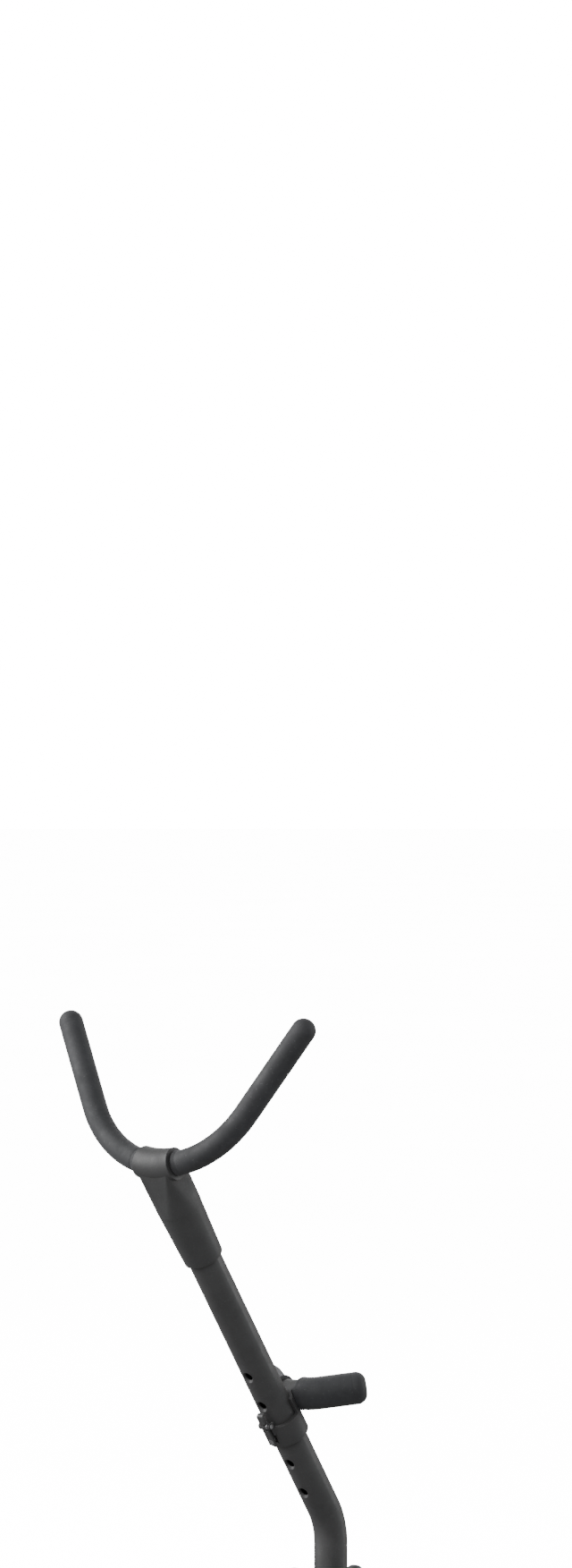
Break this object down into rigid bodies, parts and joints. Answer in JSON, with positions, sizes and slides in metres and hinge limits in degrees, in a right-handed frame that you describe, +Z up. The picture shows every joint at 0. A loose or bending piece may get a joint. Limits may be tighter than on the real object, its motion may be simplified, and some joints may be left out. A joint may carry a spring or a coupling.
{
  "type": "saxophone stand",
  "caption": "Free-standing tenor saxophone stand: a leaning tube on a folding tripod, with a rubber-sleeved bell yoke on top and a latched, height-adjustable body rest.",
  "frame": {"origin": "on the floor, under the upright foot of the column, midway between the feet", "axes": "+Z up; the column leans towards -Y, the saxophone stands on the +Y side, and the yoke spans X"},
  "size_m": [0.351, 0.3499, 0.3876],
  "materials": {
    "coat": "matte charcoal powder coat over steel",
    "moulded": "matt moulded black-grey plastic",
    "rubber": "matt blue-black rubber",
    "steel": "plain bright steel"
  },
  "bodies": {
    "stand": {"column_tube": "coat", "column_insert": "steel", "yoke_neck": "moulded", "neck_screw": "steel", "yoke_rod": "steel", "yoke_sleeve_left": "rubber", "yoke_sleeve_right": "rubber", "hub": "moulded", "hub_screw": "steel", "leg_pivot_pins": "steel", "leg_washers": "steel"},
    "rest": {"rest_slider": "moulded", "rest_rod": "steel", "rest_sleeve_left": "rubber", "rest_sleeve_right": "rubber", "lock_axle": "steel", "lock_spring": "steel"},
    "latch": {"lock_lever": "coat", "lock_pin": "steel"},
    "leg_rear": {"leg_head_rear": "moulded", "leg_tube_rear": "coat", "foot_rear": "rubber"},
    "leg_left": {"leg_head_left": "moulded", "leg_tube_left": "coat", "foot_left": "rubber"},
    "leg_right": {"leg_head_right": "moulded", "leg_tube_right": "coat", "foot_right": "rubber"}
  },
  "joints": [
    {"name": "rest_slide", "type": "slide", "parent": "stand", "child": "rest", "axis": [0, -0.5736, 0.8192], "range_m": [-0.04, 0.02]},
    {"name": "lock_pivot", "type": "hinge", "parent": "rest", "child": "latch", "pos_m": [0, -0.05447, 0.16605], "axis": [1, 0, 0], "range_deg": [0, 12.5], "stiffness_Nm_per_rad": 0.02, "springref_deg": 17.19},
    {"name": "leg_rear_fold", "type": "hinge", "parent": "stand", "child": "leg_rear", "pos_m": [0, 0.02, 0.078], "axis": [-1, 0, 0], "range_deg": [0, 66]},
    {"name": "leg_left_fold", "type": "hinge", "parent": "stand", "child": "leg_left", "pos_m": [-0.01732, -0.01, 0.078], "axis": [0.5, -0.866, 0], "range_deg": [0, 66]},
    {"name": "leg_right_fold", "type": "hinge", "parent": "stand", "child": "leg_right", "pos_m": [0.01732, -0.01, 0.078], "axis": [0.5, 0.866, 0], "range_deg": [0, 66]}
  ]
}
